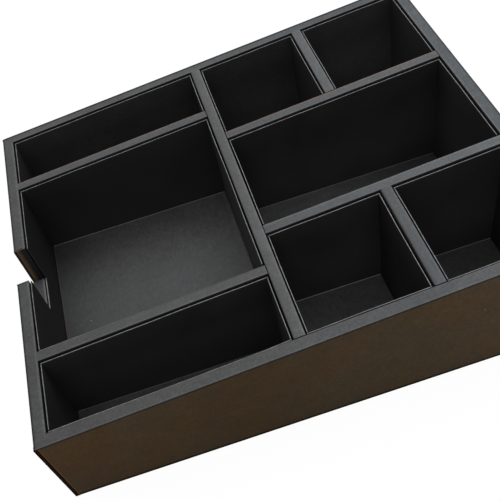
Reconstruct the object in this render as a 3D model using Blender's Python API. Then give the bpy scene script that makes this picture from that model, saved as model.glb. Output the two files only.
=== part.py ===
"""Sloped condiment tray: board walls wrapped in leatherette, eight lined bays and a finger notch.

X runs from the low end to the high end, Y from front to back, Z up.
The origin is on the table under the low front corner until the last step, which
moves it to the middle of the footprint.
"""
import math

import bmesh
import bpy

# Overall size
WIDTH = 0.2966            # low end to high end
DEPTH = 0.2506            # front to back
RIM_LOW = 0.0618          # rim height over the table at the low end
RIM_HIGH = 0.0854         # rim height over the table at the high end

# Walls and dividers
WALL = 0.0074             # outer wall, leatherette on both sides
DIVIDER = 0.0065          # wrapped divider
COVER = 0.0008            # leatherette skin over a wall board
TURN_IN = 0.0150          # how far the skin comes down inside the tray
RIM_ROUND = 0.0005        # rounding of the rim's two edges
COVER_LIFT = 0.0003       # lower edge of the skin over the table

# Where the dividers stand, as shares of the clear inside
SPINE_SHARE = 0.4850
SPLIT_SHARE = 0.7494
LOW_FRONT_SHARE = 0.2046
LOW_BACK_SHARE = 0.7993
HIGH_FRONT_SHARE = 0.3193
HIGH_BACK_SHARE = 0.6839

# Bottom
SHEET = 0.0009            # underside sheet
SHEET_INSET = 0.0011      # from the tray's outer face
BASE = 0.0028             # base board
PAD = 0.0015              # floor pad of a bay
PAD_ROUND = 0.0005        # rounding of a pad's upper edge

# Wrapped card liners
LINER = 0.0007            # thickness
LINER_STANDOFF = 0.00085  # glue and skin folded over behind the card
LINER_DROP = 0.0012       # top edge below the rim
LINER_ROUND = 0.0003      # rounding of the top edge

# Finger notch in the low wall
NOTCH_WIDTH = 0.0266
NOTCH_DEPTH = 0.0303      # below the rim
NOTCH_SHARE = 0.5         # its middle, as a share of the depth

GAP = 0.0003              # clearance between neighbouring pieces
CUT_REACH = 0.0040        # how far a cutter runs past what it cuts
ARC_STEPS = 3

# Levels over the table
BOARD_FOOT = SHEET + GAP
BASE_TOP = BOARD_FOOT + BASE
INNER_FOOT = BASE_TOP + GAP
BOARD_IN = COVER + GAP                 # board's outer face from the tray's outer face
BOARD_OUT = WALL - COVER - GAP         # board's inner face from the tray's outer face

LEATHERETTE = (0.030, 0.031, 0.034)
LINING = (0.016, 0.016, 0.017)
FLOOR = (0.035, 0.035, 0.036)
BOARD = (0.36, 0.25, 0.15)
FELT = (0.02, 0.02, 0.02)


def rim(x):
    """Height of the rim plane over the table at x."""
    return RIM_LOW + (RIM_HIGH - RIM_LOW) * x / WIDTH


def under_rim(drop):
    """A level that stays a fixed distance below the sloping rim."""
    return lambda x: rim(x) - drop


def level(height):
    """A level that stays a fixed height over the table."""
    return lambda x: height


def material(name, colour, roughness):
    mat = bpy.data.materials.new("mat_" + name)
    mat.use_nodes = True
    shader = mat.node_tree.nodes["Principled BSDF"]
    shader.inputs["Base Color"].default_value = (*colour, 1.0)
    shader.inputs["Roughness"].default_value = roughness
    return mat


def body(name, rings, colour, roughness=0.6):
    """One closed body through rings of equal length, capped at both ends."""
    mesh = bpy.data.meshes.new(name)
    bm = bmesh.new()
    loops = [[bm.verts.new(point) for point in ring] for ring in rings]
    for near, far in zip(loops, loops[1:]):
        for i in range(len(near)):
            j = (i + 1) % len(near)
            bm.faces.new((near[i], near[j], far[j], far[i]))
    bm.faces.new(loops[0])
    bm.faces.new(loops[-1])
    bmesh.ops.recalc_face_normals(bm, faces=bm.faces)
    bm.to_mesh(mesh)
    bm.free()
    obj = bpy.data.objects.new(name, mesh)
    obj.data.materials.append(material(name, colour, roughness))
    bpy.context.scene.collection.objects.link(obj)
    return obj


def box(name, x_span, y_span, z_span, colour, inset=0.0):
    """A box; inset rounds off its upper edge in plan and height."""
    steps = [(0.0, z_span[0])]
    if inset:
        for i in range(ARC_STEPS + 1):
            turn = math.pi / 2 * i / ARC_STEPS
            steps.append((inset * (1 - math.cos(turn)), z_span[1] - inset * (1 - math.sin(turn))))
    else:
        steps.append((0.0, z_span[1]))
    rings = []
    for pull, z in steps:
        x0, x1 = x_span[0] + pull, x_span[1] - pull
        y0, y1 = y_span[0] + pull, y_span[1] - pull
        rings.append([(x0, y0, z), (x1, y0, z), (x1, y1, z), (x0, y1, z)])
    return body(name, rings, colour)


def rounded_top(thickness, radius, drop, foot):
    """Section of an upright panel: (across, level) points, top edges rounded."""
    points = [(0.0, level(foot))]
    for i in range(ARC_STEPS + 1):
        turn = math.pi / 2 * i / ARC_STEPS
        points.append((radius * (1 - math.cos(turn)), under_rim(drop + radius * (1 - math.sin(turn)))))
    for i in range(ARC_STEPS + 1):
        turn = math.pi / 2 * (1 - i / ARC_STEPS)
        across = thickness - radius * (1 - math.cos(turn))
        points.append((across, under_rim(drop + radius * (1 - math.sin(turn)))))
    points.append((thickness, level(foot)))
    return points


def panel(name, axis, start, span, section, colour):
    """Sweep a section along X or Y; start is where its across = 0 face stands."""
    rings = []
    for along in span:
        if axis == "x":
            rings.append([(along, start + across, z(along)) for across, z in section])
        else:
            rings.append([(start + across, along, z(start + across)) for across, z in section])
    return body(name, rings, colour)


def on_side(side, along, across):
    """Plan position on one of the four walls, across measured in from the outer face."""
    if side == "front":
        return along, across
    if side == "back":
        return along, DEPTH - across
    if side == "low":
        return across, along
    return WIDTH - across, along


def mitred(name, side, section, colour):
    """A wall piece whose two ends are mitred with its neighbours."""
    length = WIDTH if side in ("front", "back") else DEPTH
    mitre = GAP / math.sqrt(2)
    rings = []
    for end in (0, 1):
        ring = []
        for across, z in section:
            along = across + mitre if end == 0 else length - across - mitre
            x, y = on_side(side, along, across)
            ring.append((x, y, z(x)))
        rings.append(ring)
    return body(name, rings, colour)


def cover_section():
    """Skin over the rim: outer face, rounded rim and the flap turned in behind the liners."""
    outline = rounded_top(WALL, RIM_ROUND, 0.0, COVER_LIFT)
    outline[-1] = (WALL, under_rim(TURN_IN))
    outline.append((WALL - COVER, under_rim(TURN_IN)))
    outline.append((WALL - COVER, under_rim(COVER)))
    outline.append((COVER, under_rim(COVER)))
    outline.append((COVER, level(COVER_LIFT)))
    return outline


def board_section():
    top = under_rim(COVER + GAP)
    foot = level(BOARD_FOOT)
    return [(BOARD_IN, foot), (BOARD_IN, top), (BOARD_OUT, top), (BOARD_OUT, foot)]


def notch_span(margin):
    """The notch along Y and its floor, widened all round by margin."""
    middle = NOTCH_SHARE * DEPTH
    half = NOTCH_WIDTH / 2 + margin
    return middle - half, middle + half, rim(0.0) - NOTCH_DEPTH - margin


def notch_cutter(name, margin, x_span):
    y0, y1, z0 = notch_span(margin)
    cutter = box(name, x_span, (y0, y1), (z0, rim(x_span[1]) + CUT_REACH), LINING)
    cutter.hide_render = True
    cutter.display_type = "WIRE"
    return cutter


def cut(obj, cutter):
    modifier = obj.modifiers.new("notch", "BOOLEAN")
    modifier.operation = "DIFFERENCE"
    modifier.solver = "EXACT"
    modifier.object = cutter


def walls():
    pieces = {}
    for side in ("front", "back", "low", "high"):
        pieces["board", side] = mitred("wall_board_" + side, side, board_section(), BOARD)
        pieces["cover", side] = mitred("wall_cover_" + side, side, cover_section(), LEATHERETTE)
    margin = COVER + GAP
    cutter = notch_cutter("cutter_wall", margin, (-CUT_REACH, WALL + GAP / 2))
    cut(pieces["board", "low"], cutter)
    cut(pieces["cover", "low"], cutter)


def notch_band():
    """Leatherette strip that lines the notch: down one side, along the floor and up the other."""
    y0, y1, z0 = notch_span(0.0)
    y2, y3, z1 = notch_span(COVER)
    rings = []
    for x in (0.0, WALL):
        top = rim(x)
        rings.append([
            (x, y2, top), (x, y2, z1), (x, y3, z1), (x, y3, top),
            (x, y1, top), (x, y1, z0), (x, y0, z0), (x, y0, top),
        ])
    body("notch_band", rings, LEATHERETTE)


def bottom():
    span_x = (SHEET_INSET, WIDTH - SHEET_INSET)
    span_y = (SHEET_INSET, DEPTH - SHEET_INSET)
    box("underside_sheet", span_x, span_y, (0.0, SHEET), FELT)
    edge = BOARD_OUT + GAP
    box("base_board", (edge, WIDTH - edge), (edge, DEPTH - edge), (BOARD_FOOT, BASE_TOP), BOARD)


def share_x(share):
    return WALL + share * (WIDTH - 2 * WALL)


def share_y(share):
    return WALL + share * (DEPTH - 2 * WALL)


def divider(name, axis, middle, span):
    section = rounded_top(DIVIDER, RIM_ROUND, 0.0, INNER_FOOT)
    ends = (span[0] + GAP, span[1] - GAP)
    panel(name, axis, middle - DIVIDER / 2, ends, section, LEATHERETTE)


def dividers():
    half = DIVIDER / 2
    front, back = WALL, DEPTH - WALL
    low, high = WALL, WIDTH - WALL
    spine, split = share_x(SPINE_SHARE), share_x(SPLIT_SHARE)
    row_front, row_back = share_y(HIGH_FRONT_SHARE), share_y(HIGH_BACK_SHARE)
    divider("spine", "y", spine, (front, back))
    divider("divider_low_front", "x", share_y(LOW_FRONT_SHARE), (low, spine - half))
    divider("divider_low_back", "x", share_y(LOW_BACK_SHARE), (low, spine - half))
    divider("divider_high_front", "x", row_front, (spine + half, high))
    divider("divider_high_back", "x", row_back, (spine + half, high))
    divider("divider_split_front", "y", split, (front, row_front - half))
    divider("divider_split_back", "y", split, (row_back + half, back))


def bays():
    """Clear space of each bay between walls and dividers: x0, x1, y0, y1."""
    half = DIVIDER / 2
    front, back = WALL, DEPTH - WALL
    low, high = WALL, WIDTH - WALL
    spine, split = share_x(SPINE_SHARE), share_x(SPLIT_SHARE)
    low_front, low_back = share_y(LOW_FRONT_SHARE), share_y(LOW_BACK_SHARE)
    row_front, row_back = share_y(HIGH_FRONT_SHARE), share_y(HIGH_BACK_SHARE)
    return {
        "low_front": (low, spine - half, front, low_front - half),
        "napkin": (low, spine - half, low_front + half, low_back - half),
        "low_back": (low, spine - half, low_back + half, back),
        "front_inner": (spine + half, split - half, front, row_front - half),
        "front_outer": (split + half, high, front, row_front - half),
        "middle": (spine + half, high, row_front + half, row_back - half),
        "back_inner": (spine + half, split - half, row_back + half, back),
        "back_outer": (split + half, high, row_back + half, back),
    }


def line_bay(name, clear):
    """Four liner panels and a floor pad."""
    x0, x1 = clear[0] + LINER_STANDOFF, clear[1] - LINER_STANDOFF
    y0, y1 = clear[2] + LINER_STANDOFF, clear[3] - LINER_STANDOFF
    section = rounded_top(LINER, LINER_ROUND, LINER_DROP, INNER_FOOT)
    between = (y0 + LINER + GAP, y1 - LINER - GAP)
    panel("liner_" + name + "_front", "x", y0, (x0, x1), section, LINING)
    panel("liner_" + name + "_back", "x", y1 - LINER, (x0, x1), section, LINING)
    low_panel = panel("liner_" + name + "_low", "y", x0, between, section, LINING)
    panel("liner_" + name + "_high", "y", x1 - LINER, between, section, LINING)
    step = LINER + GAP
    z_span = (INNER_FOOT, INNER_FOOT + PAD)
    box("pad_" + name, (x0 + step, x1 - step), between, z_span, FLOOR, PAD_ROUND)
    return low_panel


def linings():
    for name, clear in bays().items():
        low_panel = line_bay(name, clear)
        if name == "napkin":
            reach = WALL + LINER_STANDOFF + LINER + CUT_REACH
            cutter = notch_cutter("cutter_liner", 0.0, (WALL + GAP / 2, reach))
            cut(low_panel, cutter)


def centre_on_footprint():
    for obj in bpy.context.scene.objects:
        for vertex in obj.data.vertices:
            vertex.co.x -= WIDTH / 2
            vertex.co.y -= DEPTH / 2


def main():
    for obj in list(bpy.data.objects):
        bpy.data.objects.remove(obj, do_unlink=True)
    bottom()
    walls()
    notch_band()
    dividers()
    linings()
    centre_on_footprint()


main()
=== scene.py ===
"""Looks of the condiment tray: leatherette skins, wavy card liners, brushed pads, studio and camera."""

import math

import bmesh
import bpy
from mathutils import Euler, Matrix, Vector, noise

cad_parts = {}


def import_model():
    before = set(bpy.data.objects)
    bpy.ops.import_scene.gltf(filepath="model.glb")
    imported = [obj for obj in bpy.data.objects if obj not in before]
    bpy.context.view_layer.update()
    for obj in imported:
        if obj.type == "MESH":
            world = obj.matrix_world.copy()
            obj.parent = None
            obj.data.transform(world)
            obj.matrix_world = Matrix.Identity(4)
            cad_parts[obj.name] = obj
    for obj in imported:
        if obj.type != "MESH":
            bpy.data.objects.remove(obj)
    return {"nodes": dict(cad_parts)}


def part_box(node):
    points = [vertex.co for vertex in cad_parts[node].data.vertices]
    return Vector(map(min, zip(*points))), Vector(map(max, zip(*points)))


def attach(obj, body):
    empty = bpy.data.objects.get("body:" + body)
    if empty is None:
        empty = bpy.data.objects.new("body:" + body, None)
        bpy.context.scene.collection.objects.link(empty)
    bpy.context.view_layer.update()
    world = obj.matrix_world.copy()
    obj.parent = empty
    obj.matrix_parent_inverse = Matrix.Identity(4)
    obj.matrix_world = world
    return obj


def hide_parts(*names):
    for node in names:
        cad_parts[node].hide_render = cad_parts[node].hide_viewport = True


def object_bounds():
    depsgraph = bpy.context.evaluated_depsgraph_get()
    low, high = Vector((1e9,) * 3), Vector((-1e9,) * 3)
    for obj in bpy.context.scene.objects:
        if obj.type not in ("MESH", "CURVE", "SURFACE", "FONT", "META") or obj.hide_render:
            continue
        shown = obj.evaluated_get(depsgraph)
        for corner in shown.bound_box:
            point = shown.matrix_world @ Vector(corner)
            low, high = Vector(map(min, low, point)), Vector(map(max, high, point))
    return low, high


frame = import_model()
cad_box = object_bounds()
nodes = frame["nodes"]

RIM_MIDDLE = 0.0736       # rim height over the table at the middle of the tray
RIM_SLOPE = 0.07957       # rise of the rim per metre along X
RIM_ROUND = 0.0005        # rounding of the rim's edges
WALL = 0.0074             # thickness of a wall

SLICE = 0.005             # spacing of the stations along a liner
END_HOLD = 0.020          # a liner's wander grows over this length from each end
LINER_WAVE = 0.00022      # how far a liner's top edge wanders sideways
WAVE_PACE = 22.0          # and how quickly, per metre
LINER_RISE = 0.00016      # how far it wanders up and down
RISE_PACE = 60.0          # and how quickly, per metre
LINER_SWAY_DEPTH = 0.020  # the wander fades out this far below the top
LINER_NEAR_DROP = 0.0010  # the liner at the near side of a bay sits this much lower
NEAR_RISE = -0.008        # those along the front wall are up to full height from this X on
NEAR_FADE = 0.020         # and come up to it over this length
FRONT_WALL_LINERS = ("liner_low_front_front", "liner_front_inner_front", "liner_front_outer_front")

WRAP_FRONT = 0.0021       # skin turned round a vertical corner: onto the long side
WRAP_SIDE = 0.0030        # and onto the short side
WRAP_SKIN = 0.00022       # its thickness
WRAP_EDGE = 0.0008        # width of its edge, painted with a highlight
WRAP_WANDER = 0.00012     # how far that edge wanders
WRAP_FOOT = 0.0004        # its foot stays clear of the table
FOLD_SAG = 0.00008        # how far a tucked fold lies under the rim
FOLD_DEPTH = 0.0012       # how deep it reaches
JOINT_REACH = 0.00055     # half the width of a fold over a joint
MITRE_REACH = 0.00025     # and over a mitre

GRAIN = 0.0007            # size of the pebble grain
EDGE_FLAT = 0.0007        # painted highlight or shade along a rim's edge: full to here
EDGE_FADE = 0.0016        # and gone here
PAD_EDGE = 0.0010         # width of the line along a pad's edge
HALF_LENGTH = 0.15        # of the tray, in round figures
SIDE_HEIGHT = 0.07        # a side grows paler up to this height

FOOT = (0.0015, 0.0034)        # a side's dark foot, a painted shade, fades out between these heights
UNDER_RIM_SHADE = (0.0006, 0.0018)        # painted shade under a rim, between these depths under it
RIM_HUE = (0.0008, 0.0032)     # and the cool hue next to the rim, between these
LINER_FOOT = (0.02, 0.06)      # a liner's face changes tone between these depths
SIDE_TO_RIM = (0.12, 0.22)     # a skin turns from side to rim, a painted sheen, as its face looks up this far
NOTCH_SIDE = (0.0004, 0.0046)  # stretch of the notch's side with its own tones, from outside
NOTCH_EDGE = (0.0060, 0.0066)  # and the stretch over which its ledge turns pale, a painted highlight

CORNERS = (("low_front", -1, -1), ("low_back", -1, 1), ("high_front", 1, -1), ("high_back", 1, 1))


# Tones

def grey(value):
    return (value, value, value)


# Grey of the rims: painted sheen on the faces that look up
RIM_GREY = grey(0.086)
# Painted shade on a rim's rounded edge, where its face turns away from the light
EDGE_DARK = grey(0.018)
# Black of faces that look into the tray: painted shade
INSIDE_BLACK = grey(0.016)
EVEN = grey(1.0)
COOL = (0.965, 1.0, 1.03)
COOLER = (0.93, 1.0, 1.06)
WARM = (1.16, 0.98, 0.90)
RIM_SIDE = (0.98, 1.08, 1.36)
MOTTLE = ((1.05, 0.98, 0.88), (0.95, 1.01, 1.10))

# Side of a skin, from the low end to the high end
OUTSIDE = (
    (0.0, (0.0600, 0.0370, 0.0180)),
    (0.4, (0.0480, 0.0320, 0.0165)),
    (1.0, (0.0630, 0.0430, 0.0240)),
)
# Divider sides take the same painted shade black
INSIDE = ((0.0, INSIDE_BLACK), (1.0, INSIDE_BLACK))

# Corner wrap, from the corner to its edge: the near-black is painted shade, the pale lines painted
# highlight
WRAP_TONES = (
    (0.0, (0.008, 0.0045, 0.0018)),
    (0.26, (0.008, 0.0045, 0.0018)),
    (0.33, (0.036, 0.024, 0.015)),
    (0.40, (0.010, 0.0050, 0.0016)),
    (0.66, (0.012, 0.0058, 0.0018)),
    (0.74, (0.088, 0.052, 0.030)),
)

# Side of the notch, along the stretch NOTCH_SIDE; its bright brown band is a painted sheen
NOTCH_TONES = (
    (0.0, (0.006, 0.004, 0.002)),
    (0.24, (0.006, 0.004, 0.002)),
    (0.34, (0.100, 0.056, 0.028)),
    (0.66, (0.056, 0.032, 0.016)),
    (0.86, (0.040, 0.024, 0.014)),
    (0.96, (0.010, 0.0095, 0.0095)),
)
# Grey of the notch's floor: painted sheen, as on the rims
NOTCH_LEDGE = (0.066, 0.065, 0.066)
NOTCH_LEDGE_HIGHLIGHT = (0.135, 0.135, 0.137)

LINER_FACE = ((0.3, (0.0125, 0.0125, 0.0127)), (0.7, (0.0165, 0.0163, 0.0160)))
# Paler top edge of a liner: painted highlight
LINER_TOP_HIGHLIGHT = ((0.30, (0.140, 0.136, 0.132)), (0.70, (0.270, 0.262, 0.255)))
LOW_END_SHARE = 0.62      # painted shade on a liner at the low end of its bay, against the long sides

PAD_TONES = ((0.3, (0.035, 0.035, 0.0355)), (0.7, (0.046, 0.046, 0.047)))
PAD_BACK_HIGHLIGHT = (0.420, 0.410, 0.400)
PAD_SIDE_LINE = (0.085, 0.055, 0.047)

SKIN_LINT = (0.22, 0.22, 0.21)
LINER_LINT = (0.16, 0.16, 0.15)
PAD_LINT = grey(0.20)
FIBRES = ((0.3, (0.24, 0.15, 0.08)), (0.7, (0.44, 0.31, 0.18)))
FUZZ = ((0.3, grey(0.008)), (0.7, grey(0.03)))

OUTSIDE_SHINE = 0.01
INSIDE_SHINE = 0.10


def look(tilt, first, last, hue=(EVEN, EVEN), ends=(EVEN, EVEN), corner=0.92, band=1.0):
    """Tone of a rim: slope across, painted edge bands, hue across, painted light and shade at its ends.

    The corner is how far a face must look up to be rim, the band how wide the edge bands of painted
    highlight or shade are.
    """
    return {
        "tilt": tilt, "first": first, "last": last, "hue": hue, "ends": ends,
        "corner": corner, "band": band,
    }


# The ends tones of each rim paint light and shade along its length
COVER_LOOKS = {
    "wall_cover_low": look(0.06, -0.55, 0.34, ends=(grey(0.91), grey(1.10)), corner=0.50),
    "wall_cover_high": look(0.0, 0.25, -0.50, (COOL, COOLER), (grey(1.08), grey(1.10))),
    "wall_cover_front": look(0.0, 0.14, 0.0, ends=((0.90, 0.88, 0.86), (1.10, 1.12, 1.16))),
    "wall_cover_back": look(0.0, 0.12, -0.75, ends=(grey(1.10), (1.00, 1.06, 1.10)), band=1.6),
}
# Here too the ends tones are painted light and shade
DIVIDER_LOOKS = {
    "spine": look(0.22, -0.10, 0.24),
    "divider_low_front": look(0.0, 0.26, -0.06, ends=(grey(0.85), grey(0.90))),
    "divider_low_back": look(0.0, 0.12, 0.30, (COOLER, WARM), (grey(0.95), grey(0.95))),
    "divider_high_front": look(0.0, 0.12, 0.36, (COOL, COOL), (grey(0.88), grey(1.14))),
    "divider_high_back": look(0.0, 0.22, 0.30, (COOLER, WARM), (grey(0.91), grey(0.98))),
    "divider_split_front": look(0.16, -0.28, 0.18, (COOL, COOLER), (grey(0.94), grey(0.90))),
    "divider_split_back": look(0.10, 0.0, 0.18, (COOL, COOL), (grey(1.08), grey(1.08))),
}


def pad_look(along=(1.0, 1.0), deep=(1.0, 1.0), back=0.8, side=0.0):
    """Pad tone: painted light and shade along and across it, its painted back highlight and its side
    line.
    """
    return {"along": along, "deep": deep, "back": back, "side": side}


# along and deep paint light and shade over each pad
PAD_LOOKS = {
    "napkin": pad_look((0.66, 1.38), (1.14, 0.92), 0.5, 0.8),
    "middle": pad_look((1.32, 0.80), back=0.35),
    "front_inner": pad_look((1.16, 1.22)),
    "front_outer": pad_look(back=0.6),
    "low_front": pad_look((1.45, 1.30), back=0.3, side=0.7),
}

# Liners of each bay: tone, growth towards the floor, share on the panel at the high end; all three are
# painted light and shade
LINER_LOOKS = {
    "low_front": (1.30, 2.3, 0.84), "napkin": (0.92, 1.45, 1.10), "low_back": (1.50, 2.1, 0.50),
    "middle": (1.05, 2.1, 0.80), "front_inner": (1.25, 2.1, 0.46), "front_outer": (1.25, 2.1, 0.50),
    "back_inner": (1.45, 2.1, 0.56), "back_outer": (1.70, 2.1, 0.62),
}


# Materials

class Shader:
    """A Principled material with helpers for its procedural inputs."""

    def __init__(self, name):
        self.mat = bpy.data.materials.new(name)
        self.mat.use_nodes = True
        self.tree = self.mat.node_tree
        self.bsdf = self.tree.nodes["Principled BSDF"]
        coords = self.tree.nodes.new("ShaderNodeTexCoord")
        self.coords = coords.outputs["Object"]
        self.normal = coords.outputs["Normal"]

    def node(self, kind, **values):
        made = self.tree.nodes.new(kind)
        for key, value in values.items():
            setattr(made, key, value)
        return made

    def feed(self, socket, value):
        """Link a socket to another, or set it to a plain number."""
        if isinstance(value, float):
            socket.default_value = value
        else:
            self.tree.links.new(value, socket)

    def noise(self, scale, detail=3.0, roughness=0.5, stretch=(1, 1, 1)):
        mapping = self.node("ShaderNodeMapping")
        mapping.inputs["Scale"].default_value = stretch
        self.feed(mapping.inputs["Vector"], self.coords)
        made = self.node("ShaderNodeTexNoise")
        for key, value in (("Scale", scale), ("Detail", detail), ("Roughness", roughness)):
            made.inputs[key].default_value = value
        self.feed(made.inputs["Vector"], mapping.outputs["Vector"])
        return made.outputs["Fac"]

    def cells(self, scale):
        made = self.node("ShaderNodeTexVoronoi", feature="SMOOTH_F1")
        made.inputs["Scale"].default_value = scale
        self.feed(made.inputs["Vector"], self.coords)
        return made.outputs["Distance"]

    def lint(self, scale, size):
        """Sparse specks of dust: 1 on a speck, 0 elsewhere."""
        made = self.node("ShaderNodeTexVoronoi")
        made.inputs["Scale"].default_value = scale
        self.feed(made.inputs["Vector"], self.coords)
        return self.range(made.outputs["Distance"], size, size * 1.5, 1.0, 0.0)

    def along(self, vector, axis):
        split = self.node("ShaderNodeSeparateXYZ")
        self.feed(split.inputs["Vector"], vector)
        return split.outputs[axis]

    def math(self, operation, *values):
        made = self.node("ShaderNodeMath", operation=operation)
        for socket, value in zip(made.inputs, values):
            self.feed(socket, value)
        return made.outputs["Value"]

    def outward(self):
        """1 on faces that look away from the tray's middle, 0 on those that look in."""
        flat = self.node("ShaderNodeVectorMath", operation="MULTIPLY")
        flat.inputs[1].default_value = (1, 1, 0)
        self.feed(flat.inputs[0], self.coords)
        dot = self.node("ShaderNodeVectorMath", operation="DOT_PRODUCT")
        self.feed(dot.inputs[0], flat.outputs["Vector"])
        self.feed(dot.inputs[1], self.normal)
        return self.math("GREATER_THAN", dot.outputs["Value"], 0.0)

    def under_rim(self):
        """How far a point lies under the plane of the rims."""
        rise = self.math("MULTIPLY_ADD", self.along(self.coords, "X"), RIM_SLOPE, RIM_MIDDLE)
        return self.math("SUBTRACT", rise, self.along(self.coords, "Z"))

    def ramp(self, source, stops):
        """A colour ramp; stops are (position, colour)."""
        made = self.node("ShaderNodeValToRGB")
        elements = made.color_ramp.elements
        elements[1].position, elements[1].color = stops[-1][0], (*stops[-1][1], 1)
        elements[0].position, elements[0].color = stops[0][0], (*stops[0][1], 1)
        for position, colour in stops[1:-1]:
            elements.new(position).color = (*colour, 1)
        self.feed(made.inputs["Fac"], source)
        return made.outputs["Color"]

    def blend(self, fac, first, second, mode="MIX"):
        made = self.node("ShaderNodeMix", data_type="RGBA", blend_type=mode)
        sockets = {socket.identifier: socket for socket in made.inputs}
        self.feed(sockets["Factor_Float"], fac)
        for socket, value in ((sockets["A_Color"], first), (sockets["B_Color"], second)):
            if isinstance(value, tuple):
                socket.default_value = (*value, 1)
            else:
                self.feed(socket, value)
        return next(socket for socket in made.outputs if socket.identifier == "Result_Color")

    def times(self, first, second):
        return self.blend(1.0, first, second, "MULTIPLY")

    def range(self, source, low, high, to_low, to_high):
        """Carry low to to_low and high to to_high, with nothing past either end."""
        made = self.node("ShaderNodeMapRange")
        limits = (("From Min", low), ("From Max", high), ("To Min", to_low), ("To Max", to_high))
        for key, value in limits:
            made.inputs[key].default_value = value
        self.feed(made.inputs["Value"], source)
        return made.outputs["Result"]

    def bump(self, height, strength, distance, normal=None):
        made = self.node("ShaderNodeBump")
        made.inputs["Strength"].default_value = strength
        made.inputs["Distance"].default_value = distance
        self.feed(made.inputs["Height"], height)
        if normal is not None:
            self.feed(made.inputs["Normal"], normal)
        return made.outputs["Normal"]

    def coat(self, tone, roughness, normal, shine):
        """Finish the material; shine is its specular level."""
        self.feed(self.bsdf.inputs["Base Color"], tone)
        self.feed(self.bsdf.inputs["Roughness"], roughness)
        self.feed(self.bsdf.inputs["Normal"], normal)
        self.bsdf.inputs["Specular IOR Level"].default_value = shine
        return self.mat


def rim_span(name):
    """Axis across a piece's rim with its start and end, and the same along the rim."""
    low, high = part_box(name)
    axis = 0 if high[0] - low[0] < high[1] - low[1] else 1
    start, end = low[axis], high[axis]
    if name in ("wall_cover_low", "wall_cover_front"):
        end = start + WALL
    if name in ("wall_cover_high", "wall_cover_back"):
        start = end - WALL
    return ("XY"[axis], start, end), ("XY"[1 - axis], low[1 - axis], high[1 - axis])


def rim_tone(s, name, tones, up):
    """Grey rim of painted sheen: hue, slope, painted edge highlight or shade, painted shade where it
    rounds off.
    """
    (axis, start, end), (length_axis, length_start, length_end) = rim_span(name)
    place = s.along(s.coords, axis)
    across = s.range(place, start, end, 0.0, 1.0)
    flat, fade = EDGE_FLAT * tones["band"], EDGE_FADE * tones["band"]
    # Bands along both edges: painted highlight where the share is above zero, painted shade where below
    first = s.range(place, start + flat, start + fade, tones["first"], 0.0)
    last = s.range(place, end - fade, end - flat, 0.0, tones["last"])
    body = s.math("MULTIPLY_ADD", across, tones["tilt"], 1.0 - tones["tilt"] / 2)
    gain = s.math("ADD", body, s.math("ADD", first, last))
    hue = s.blend(s.range(across, 0.45, 0.75, 0.0, 1.0), *tones["hue"])
    # Painted light and shade along the rim's length
    along = s.range(s.along(s.coords, length_axis), length_start, length_end, 0.0, 1.0)
    hue = s.times(hue, s.blend(along, *tones["ends"]))
    top = s.times(s.times(RIM_GREY, hue), gain)
    # Rounded faces that look less far up get the painted shade EDGE_DARK
    return s.blend(s.range(up, tones["corner"] - 0.12, tones["corner"], 0.0, 1.0), EDGE_DARK, top)


def side_tone(s, sides):
    """Mottled side, darker towards its foot; painted shade at its foot, under the rim and on the
    inside.
    """
    height = s.along(s.coords, "Z")
    sunk = s.range(height, 0.0, SIDE_HEIGHT, 0.94, 1.06)
    # Painted shade: a dark line along the foot and one under the rim
    foot = s.range(height, *FOOT, 0.03, 1.0)
    under_rim_shade = s.range(s.under_rim(), *UNDER_RIM_SHADE, 0.62, 1.0)
    shade = s.math("MULTIPLY", s.math("MULTIPLY", foot, under_rim_shade), sunk)
    side = s.ramp(s.range(s.along(s.coords, "X"), cad_box[0][0], cad_box[1][0], 0.0, 1.0), sides)
    side = s.times(side, s.blend(s.range(s.noise(16.0, 3.0, 0.6), 0.38, 0.62, 0.0, 1.0), *MOTTLE))
    near_rim = s.range(s.under_rim(), *RIM_HUE, 1.0, 0.0)
    side = s.times(side, s.blend(near_rim, EVEN, RIM_SIDE))
    # Faces that look inward take INSIDE_BLACK, painted shade
    return s.blend(s.outward(), INSIDE_BLACK, s.times(side, shade))


def skin(name, sides, shine, tones):
    """Coated fabric with a fine pebble grain: grey rim on top, a painted sheen, side tone below."""
    s = Shader("leatherette_" + name)
    up = s.along(s.normal, "Z")
    # Faces that look up take the grey rim tone, a painted sheen
    is_rim = s.range(up, *SIDE_TO_RIM, 0.0, 1.0)
    tone = s.blend(is_rim, side_tone(s, sides), rim_tone(s, name, tones, up))
    cloud = s.noise(26.0, 4.0, 0.62)
    patch = s.noise(130.0, 3.0, 0.6)
    speck = s.noise(620.0, 3.0, 0.75)
    cells = s.cells(1.0 / GRAIN)
    tone = s.times(tone, s.range(cloud, 0.32, 0.68, 0.92, 1.08))
    tone = s.times(tone, s.range(patch, 0.30, 0.70, 0.93, 1.07))
    tone = s.times(tone, s.range(speck, 0.25, 0.75, 0.80, 1.20))
    tone = s.times(tone, s.range(cells, 0.0, 0.7, 0.84, 1.05))
    # Painted light: the whole skin grows lighter towards the high end of the tray
    tone = s.times(tone, s.range(s.along(s.coords, "X"), -HALF_LENGTH, HALF_LENGTH, 0.95, 1.15))
    tone = s.blend(s.lint(38.0, 0.010), tone, SKIN_LINT)
    normal = s.bump(cells, 0.30, GRAIN * 0.10)
    normal = s.bump(cloud, 0.25, 0.0006, normal)
    normal = s.bump(speck, 0.25, 0.00004, normal)
    return s.coat(tone, s.range(cloud, 0.3, 0.7, 0.45, 0.56), normal, shine)


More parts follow.
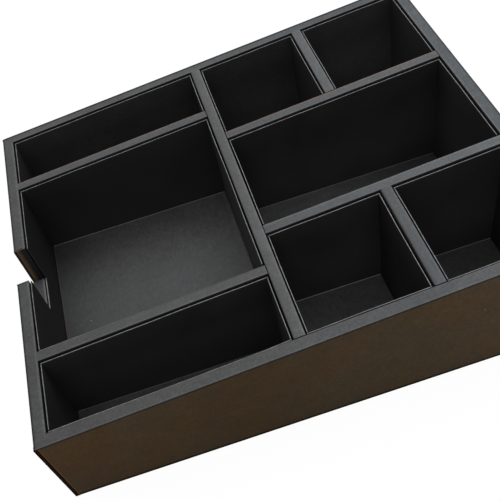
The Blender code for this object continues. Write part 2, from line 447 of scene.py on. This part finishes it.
def corner_skin(name):
    """Skin turned round a corner: near-black brown painted shade, with a warm painted highlight on its
    edge.
    """
    s = Shader(name)
    speck = s.noise(620.0, 3.0, 0.75)
    low, high = cad_box
    inset_low = s.math("SUBTRACT", s.along(s.coords, "X"), low[0])
    inset_high = s.math("SUBTRACT", high[0], s.along(s.coords, "X"))
    inset = s.math("MINIMUM", inset_low, inset_high)
    # Painted shade over the wrap, painted highlight lines near its edge
    tone = s.ramp(s.range(inset, 0.0, WRAP_FRONT + WRAP_EDGE, 0.0, 1.0), WRAP_TONES)
    tone = s.times(tone, s.range(speck, 0.25, 0.75, 0.75, 1.25))
    return s.coat(tone, s.range(speck, 0.3, 0.7, 0.45, 0.60), s.bump(speck, 0.25, 0.00004), shine=0.0)


def liner_skin(bay, gain, deep, high_end):
    """Black paper over card: near-black faces and a paler top edge, a painted highlight."""
    s = Shader("lining_paper_" + bay)
    up = s.along(s.normal, "Z")
    scuff = s.noise(240.0, 3.0, 0.6)
    cloud = s.noise(34.0, 4.0, 0.6)
    speck = s.noise(700.0, 2.0, 0.6)
    face = s.ramp(cloud, LINER_FACE)
    # Painted light and shade: lighter towards the floor and by the way the panel faces
    face = s.times(face, s.range(s.under_rim(), *LINER_FOOT, 1.0, deep))
    shares = ((0.0, grey(high_end * gain)), (0.5, grey(gain)), (1.0, grey(LOW_END_SHARE * gain)))
    face = s.times(face, s.ramp(s.range(s.along(s.normal, "X"), -1.0, 1.0, 0.0, 1.0), shares))
    # Faces that look up get the paler top edge, a painted highlight
    tone = s.blend(s.range(up, 0.80, 0.95, 0.0, 1.0), face, s.ramp(scuff, LINER_TOP_HIGHLIGHT))
    tone = s.times(tone, s.range(speck, 0.25, 0.75, 0.80, 1.20))
    tone = s.blend(s.lint(30.0, 0.009), tone, LINER_LINT)
    normal = s.bump(speck, 0.30, 0.00005)
    return s.coat(tone, s.range(cloud, 0.3, 0.7, 0.55, 0.66), normal, shine=0.15)


def brushed_pad(name, tones):
    """Pad covering: short nap brushed in soft patches, a painted highlight along the back edge, a side
    line and some lint.
    """
    s = Shader("pad_leatherette_" + name)
    low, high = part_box("pad_" + name)
    nap = s.noise(1.0, 3.0, 0.65, (900.0, 420.0, 600.0))
    cross = s.noise(1.0, 2.0, 0.6, (380.0, 1100.0, 600.0))
    blotch = s.noise(170.0, 4.0, 0.7)
    cloud = s.noise(20.0, 4.0, 0.6)
    x, y = s.along(s.coords, "X"), s.along(s.coords, "Y")
    tone = s.ramp(cloud, PAD_TONES)
    tone = s.times(tone, s.range(nap, 0.3, 0.7, 0.72, 1.28))
    tone = s.times(tone, s.range(blotch, 0.3, 0.7, 0.76, 1.24))
    # Painted light and shade over the pad, along and across
    tone = s.times(tone, s.range(x, low[0], high[0], *tones["along"]))
    tone = s.times(tone, s.range(y, low[1], high[1], *tones["deep"]))
    # Painted highlight along the pad's back edge
    back = s.range(y, high[1] - PAD_EDGE, high[1] - PAD_EDGE * 0.5, 0.0, tones["back"])
    tone = s.blend(back, tone, PAD_BACK_HIGHLIGHT)
    side = s.range(x, low[0] + PAD_EDGE * 0.5, low[0] + PAD_EDGE, tones["side"], 0.0)
    tone = s.blend(side, tone, PAD_SIDE_LINE)
    tone = s.blend(s.lint(55.0, 0.018), tone, PAD_LINT)
    normal = s.bump(cloud, 0.20, 0.0006)
    normal = s.bump(blotch, 0.30, 0.00012, normal)
    normal = s.bump(cross, 0.25, 0.00006, normal)
    normal = s.bump(nap, 0.30, 0.00006, normal)
    return s.coat(tone, s.range(blotch, 0.3, 0.7, 0.50, 0.66), normal, shine=0.38)


def notch_skin(name):
    """The strip inside the notch: brown outer half with a painted sheen, black inner half, grey floor
    painted as sheen.
    """
    s = Shader(name)
    up = s.along(s.normal, "Z")
    across = s.along(s.coords, "X")
    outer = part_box("notch_band")[0][0]
    speck = s.noise(520.0, 3.0, 0.7)
    inset = s.math("SUBTRACT", across, outer)
    side = s.ramp(s.range(inset, *NOTCH_SIDE, 0.0, 1.0), NOTCH_TONES)
    # The ledge's pale inner edge is a painted highlight, its grey a painted sheen
    ledge = s.blend(s.range(inset, *NOTCH_EDGE, 0.0, 1.0), NOTCH_LEDGE, NOTCH_LEDGE_HIGHLIGHT)
    tone = s.blend(s.range(up, 0.5, 0.9, 0.0, 1.0), side, ledge)
    tone = s.times(tone, s.range(speck, 0.25, 0.75, 0.86, 1.14))
    return s.coat(tone, s.range(speck, 0.3, 0.7, 0.50, 0.62), s.bump(speck, 0.25, 0.00004), shine=0.06)


def fibreboard(name):
    """Brown board with fibres that lie flat."""
    s = Shader(name)
    fibres = s.noise(1.0, 4.0, 0.6, (900.0, 900.0, 2400.0))
    return s.coat(s.ramp(fibres, FIBRES), 0.85, s.bump(fibres, 0.4, 0.0001), shine=0.2)


def felt(name):
    """Black felt."""
    s = Shader(name)
    fuzz = s.noise(1500.0, 4.0, 0.7)
    return s.coat(s.ramp(fuzz, FUZZ), 0.95, s.bump(fuzz, 0.6, 0.0002), shine=0.1)


def bay_of(name):
    """The bay that a liner stands in."""
    return name[len("liner_"):].rpartition("_")[0]


skins = {name: skin(name, OUTSIDE, OUTSIDE_SHINE, tones) for name, tones in COVER_LOOKS.items()}
skins.update({name: skin(name, INSIDE, INSIDE_SHINE, tones) for name, tones in DIVIDER_LOOKS.items()})
pads = {"pad_" + bay: brushed_pad(bay, PAD_LOOKS.get(bay, pad_look())) for bay in LINER_LOOKS}
linings = {bay: liner_skin(bay, *tones) for bay, tones in LINER_LOOKS.items()}
wrap_skin = corner_skin("corner_leatherette")
notch = notch_skin("notch_leatherette")
board_core = fibreboard("fibreboard")
under_felt = felt("underside_felt")


def finish(name):
    """The material of a CAD node."""
    if name.startswith("wall_board") or name == "base_board":
        return board_core
    if name.startswith("liner_"):
        return linings[bay_of(name)]
    if name.startswith("pad_"):
        return pads[name]
    if name == "underside_sheet":
        return under_felt
    if name == "notch_band":
        return notch
    return skins[name]


for name, obj in nodes.items():
    for slot in obj.material_slots:
        slot.material = finish(name)


# Pieces

def add_piece(name, bm, mat):
    """Turn a bmesh into a piece that rides on the tray."""
    mesh = bpy.data.meshes.new(name)
    bm.to_mesh(mesh)
    bm.free()
    obj = bpy.data.objects.new(name, mesh)
    bpy.context.scene.collection.objects.link(obj)
    mesh.materials.clear()
    mesh.materials.append(mat)
    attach(obj, "root")
    return obj


def wander(seed, along, pace):
    """Smooth repeatable wander between about -1 and 1."""
    return noise.noise(Vector((along * pace, seed * 7.31, seed * 1.73))) * 1.6


def near_drop(name, x):
    """How much lower a liner stands at the place x; only those at the near side of a bay do."""
    if name in FRONT_WALL_LINERS:
        return LINER_NEAR_DROP * min(1.0, max(0.0, (NEAR_RISE - x) / NEAR_FADE))
    return LINER_NEAR_DROP if name.endswith("_front") else 0.0


def wavy_liner(name, seed):
    """The liner with a top edge that wanders a little, as glued card does."""
    bm = bmesh.new()
    bm.from_mesh(nodes[name].data)
    low, high = (Vector(corner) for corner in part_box(name))
    size = high - low
    axis = 0 if size.x > size.y else 1
    count = int(size[axis] / SLICE)
    for i in range(1, count):
        point = low.copy()
        point[axis] = low[axis] + size[axis] * i / count
        facing = Vector((0, 0, 0))
        facing[axis] = 1.0
        geometry = bm.verts[:] + bm.edges[:] + bm.faces[:]
        bmesh.ops.bisect_plane(bm, geom=geometry, plane_co=point, plane_no=facing)
    for vertex in bm.verts:
        along = vertex.co[axis]
        ends = min(along - low[axis], high[axis] - along) / END_HOLD
        depth = max(0.0, 1.0 - (high.z - vertex.co.z) / LINER_SWAY_DEPTH)
        hold = min(1.0, ends) * depth
        vertex.co[1 - axis] += LINER_WAVE * hold * wander(seed, along, WAVE_PACE)
        vertex.co.z += LINER_RISE * hold * wander(seed + 0.5, along, RISE_PACE)
        vertex.co.z -= near_drop(name, vertex.co.x) * depth
    piece = add_piece("wavy_" + name, bm, linings[bay_of(name)])
    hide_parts(name)


def rim_height(x):
    return RIM_MIDDLE + RIM_SLOPE * x


def loft(name, rings, mat):
    """One closed body through rings of equal length."""
    bm = bmesh.new()
    loops = [[bm.verts.new(point) for point in ring] for ring in rings]
    for near, far in zip(loops, loops[1:]):
        for i in range(len(near)):
            j = (i + 1) % len(near)
            bm.faces.new((near[i], near[j], far[j], far[i]))
    bm.faces.new(loops[0])
    bm.faces.new(loops[-1])
    bmesh.ops.recalc_face_normals(bm, faces=bm.faces)
    piece = add_piece(name, bm, mat)


def tucked_fold(name, start, end, reach, mat):
    """Skin tucked over a joint between two rims, sagging a little along the joint's middle."""
    start, end = Vector(start), Vector(end)
    along = (end - start).normalized()
    side = Vector((-along.y, along.x)) * reach
    outer = FOLD_SAG * 0.2
    profile = ((-1.0, outer), (-0.35, FOLD_SAG), (0.35, FOLD_SAG), (1.0, outer),
               (1.0, FOLD_DEPTH), (-1.0, FOLD_DEPTH))
    rings = []
    for point in (start, end):
        ring = []
        for across, sunk in profile:
            place = point + side * across
            ring.append((place.x, place.y, rim_height(place.x) - sunk))
        rings.append(ring)
    loft(name, rings, mat)


def joint_folds():
    """Folds over the joints that the photographed tray shows as closed."""
    for name in ("divider_low_front", "divider_low_back"):
        low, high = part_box(name)
        start, end = (low[0], low[1] + RIM_ROUND), (low[0], high[1] - RIM_ROUND)
        tucked_fold("fold_" + name, start, end, JOINT_REACH, skins[name])
    for name in ("spine", "divider_split_back", "divider_split_front"):
        low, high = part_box(name)
        start, end = (low[0] + RIM_ROUND, high[1]), (high[0] - RIM_ROUND, high[1])
        tucked_fold("fold_" + name, start, end, JOINT_REACH, skins[name])


def outer_corner(x_side, y_side):
    """The tray's corner on the given sides, seen from above."""
    low, high = cad_box
    return (low if x_side < 0 else high)[0], (low if y_side < 0 else high)[1]


def mitre_folds():
    """Folds over the mitres where two rims meet."""
    for name, x_side, y_side in CORNERS:
        x, y = outer_corner(x_side, y_side)
        outer = (x - x_side * RIM_ROUND, y - y_side * RIM_ROUND)
        inner = (x - x_side * (WALL - RIM_ROUND), y - y_side * (WALL - RIM_ROUND))
        side = "wall_cover_low" if x_side < 0 else "wall_cover_high"
        tucked_fold("mitre_" + name, outer, inner, MITRE_REACH, skins[side])


def corner_wraps():
    """Skin turned round each upright corner onto the long side, with its edge painted as a highlight.
    """
    front, side, thick = WRAP_FRONT, WRAP_SIDE, WRAP_SKIN
    section = ((front + WRAP_EDGE, 0.0), (front + WRAP_EDGE, thick * 0.3), (front, thick),
               (thick, thick), (-thick * 0.3, thick * 0.75), (-thick * 0.75, thick * 0.3),
               (-thick, -thick), (-thick, -side * 0.7), (0.0, -side), (0.0, 0.0))
    for name, x_side, y_side in CORNERS:
        x, y = outer_corner(x_side, y_side)
        rings = []
        for share in (0.0, 0.25, 0.5, 0.75, 1.0):
            ring = []
            for across, out in section:
                place = x - x_side * across
                top = rim_height(place) - RIM_ROUND
                swing = WRAP_WANDER * wander(x_side + y_side, share, 3.0) if across > front else 0.0
                height = WRAP_FOOT + (top - WRAP_FOOT) * share
                ring.append((place - x_side * swing, y + y_side * out, height))
            rings.append(ring)
        loft("corner_wrap_" + name, rings, wrap_skin)


for seed, name in enumerate(sorted(nodes)):
    if name.startswith("liner_"):
        wavy_liner(name, seed)
joint_folds()
mitre_folds()
corner_wraps()


# Studio

FLOOR_SIZE = 12.0
FLOOR_ALBEDO = 0.9
FLOOR_GLOW = 1.03         # light that the floor gives off to the rays that see it
FLOOR_SHARE = 0.93        # and how much of what they see it makes up
WORLD_TINT = (0.97, 0.98, 1.0)
WORLD_STRENGTH = 0.42

# Name, place, where it points, size, watts, colour
SOFTBOXES = (
    ("back_softbox", (0.34, 0.85, 1.35), (0.0, 0.0, 0.03), (1.1, 0.8), 9.0, (0.95, 0.98, 1.0)),
    ("top_softbox", (0.52, 0.10, 0.66), (0.05, 0.0, 0.06), (0.5, 0.5), 1.9, (0.95, 0.98, 1.0)),
    ("left_softbox", (-0.50, 0.25, 0.85), (-0.05, 0.0, 0.03), (0.5, 0.5), 1.2, (0.98, 0.99, 1.0)),
    ("front_fill", (-0.15, -1.05, 1.30), (0.0, 0.0, 0.03), (1.4, 1.0), 6.0, (1.0, 0.99, 0.98)),
)

SENSOR = 36.0             # millimetres
LENS = 52.509             # millimetres
SHIFT = (0.01109, 0.08449)
CAMERA_PLACE = (-0.03455, -0.31544, 0.37936)
CAMERA_TURN = (36.5059, 9.5784, -15.5028)  # degrees


def seen_rays(tree):
    """1 for camera, glossy and transmission rays, 0 for the rays that light the scene."""
    path = tree.nodes.new("ShaderNodeLightPath")
    seen = path.outputs["Is Camera Ray"]
    for other in ("Is Glossy Ray", "Is Transmission Ray"):
        larger = tree.nodes.new("ShaderNodeMath")
        larger.operation = "MAXIMUM"
        tree.links.new(seen, larger.inputs[0])
        tree.links.new(path.outputs[other], larger.inputs[1])
        seen = larger.outputs["Value"]
    return seen


def mix_seen(tree, fac, lit, seen, target):
    """Show one shader to the rays that light the scene and the other to those that see it."""
    mix = tree.nodes.new("ShaderNodeMixShader")
    tree.links.new(fac, mix.inputs["Fac"])
    tree.links.new(lit, mix.inputs[1])
    tree.links.new(seen, mix.inputs[2])
    tree.links.new(mix.outputs["Shader"], tree.nodes[target].inputs["Surface"])


def floor():
    """Pale floor: lit by the lamps, lifted towards white for the rays that see it."""
    bpy.ops.mesh.primitive_plane_add(size=FLOOR_SIZE, location=(0.0, 0.0, 0.0))
    plane = bpy.context.object
    plane.name = "studio_floor"
    mat = bpy.data.materials.new("studio_floor")
    mat.use_nodes = True
    tree = mat.node_tree
    shader = tree.nodes["Principled BSDF"]
    shader.inputs["Base Color"].default_value = (*grey(FLOOR_ALBEDO), 1)
    shader.inputs["Roughness"].default_value = 0.9
    shader.inputs["Specular IOR Level"].default_value = 0.0
    glow = tree.nodes.new("ShaderNodeEmission")
    glow.inputs["Color"].default_value = (1, 1, 1, 1)
    glow.inputs["Strength"].default_value = FLOOR_GLOW
    share = tree.nodes.new("ShaderNodeMath")
    share.operation = "MULTIPLY"
    share.inputs[1].default_value = FLOOR_SHARE
    tree.links.new(seen_rays(tree), share.inputs[0])
    mix_seen(tree, share.outputs["Value"], shader.outputs["BSDF"], glow.outputs["Emission"],
             "Material Output")
    plane.data.materials.append(mat)


def world():
    """Soft light from all round, and a plain white backdrop for the rays that see it."""
    made = bpy.data.worlds.new("studio")
    bpy.context.scene.world = made
    made.use_nodes = True
    tree = made.node_tree
    light = tree.nodes["Background"]
    light.inputs["Color"].default_value = (*WORLD_TINT, 1)
    light.inputs["Strength"].default_value = WORLD_STRENGTH
    backdrop = tree.nodes.new("ShaderNodeBackground")
    backdrop.inputs["Color"].default_value = (1, 1, 1, 1)
    mix_seen(tree, seen_rays(tree), light.outputs["Background"], backdrop.outputs["Background"],
             "World Output")


def softbox(name, place, target, size, power, colour):
    light = bpy.data.lights.new(name, "AREA")
    light.shape = "RECTANGLE"
    light.size, light.size_y = size
    light.energy = power
    light.color = colour
    lamp = bpy.data.objects.new(name, light)
    bpy.context.scene.collection.objects.link(lamp)
    lamp.location = place
    lamp.rotation_euler = (lamp.location - Vector(target)).to_track_quat("Z", "Y").to_euler()


def camera():
    """Plain camera in front of the tray and above it, a little to the low side of its middle."""
    data = bpy.data.cameras.new("camera")
    data.sensor_width = SENSOR
    data.lens = LENS
    data.shift_x, data.shift_y = SHIFT
    data.clip_start = 0.01
    obj = bpy.data.objects.new("camera", data)
    bpy.context.scene.collection.objects.link(obj)
    obj.location = CAMERA_PLACE
    obj.rotation_euler = Euler([math.radians(angle) for angle in CAMERA_TURN], "XYZ")
    bpy.context.scene.camera = obj


floor()
world()
for settings in SOFTBOXES:
    softbox(*settings)
camera()

bpy.context.scene.view_settings.view_transform = "Standard"
